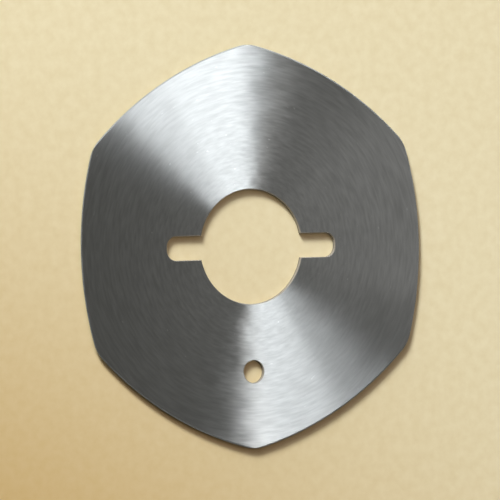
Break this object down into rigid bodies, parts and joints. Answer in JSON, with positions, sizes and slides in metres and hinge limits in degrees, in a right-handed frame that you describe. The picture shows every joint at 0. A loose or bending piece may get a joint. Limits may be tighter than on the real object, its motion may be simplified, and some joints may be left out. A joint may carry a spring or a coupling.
{
  "type": "rotary cutter blade",
  "caption": "Flat hexagonal rotary cutter blade with bowed cutting edges, a keyed hub bore and a small locating hole, for a powered cloth cutter.",
  "frame": {"origin": "on the axis of the hub bore, in the plane of the ground underside that the blade lies on", "axes": "+Z along the bore axis, out of the smooth upper face; +Y from the bore to the corner opposite the locating hole; +X along the key slots"},
  "size_m": [0.0946, 0.1, 0.0012],
  "materials": {
    "blade_steel": "bright steel, ground in fine circles round the bore"
  },
  "bodies": {
    "root": {"blade": "blade_steel"}
  },
  "joints": []
}
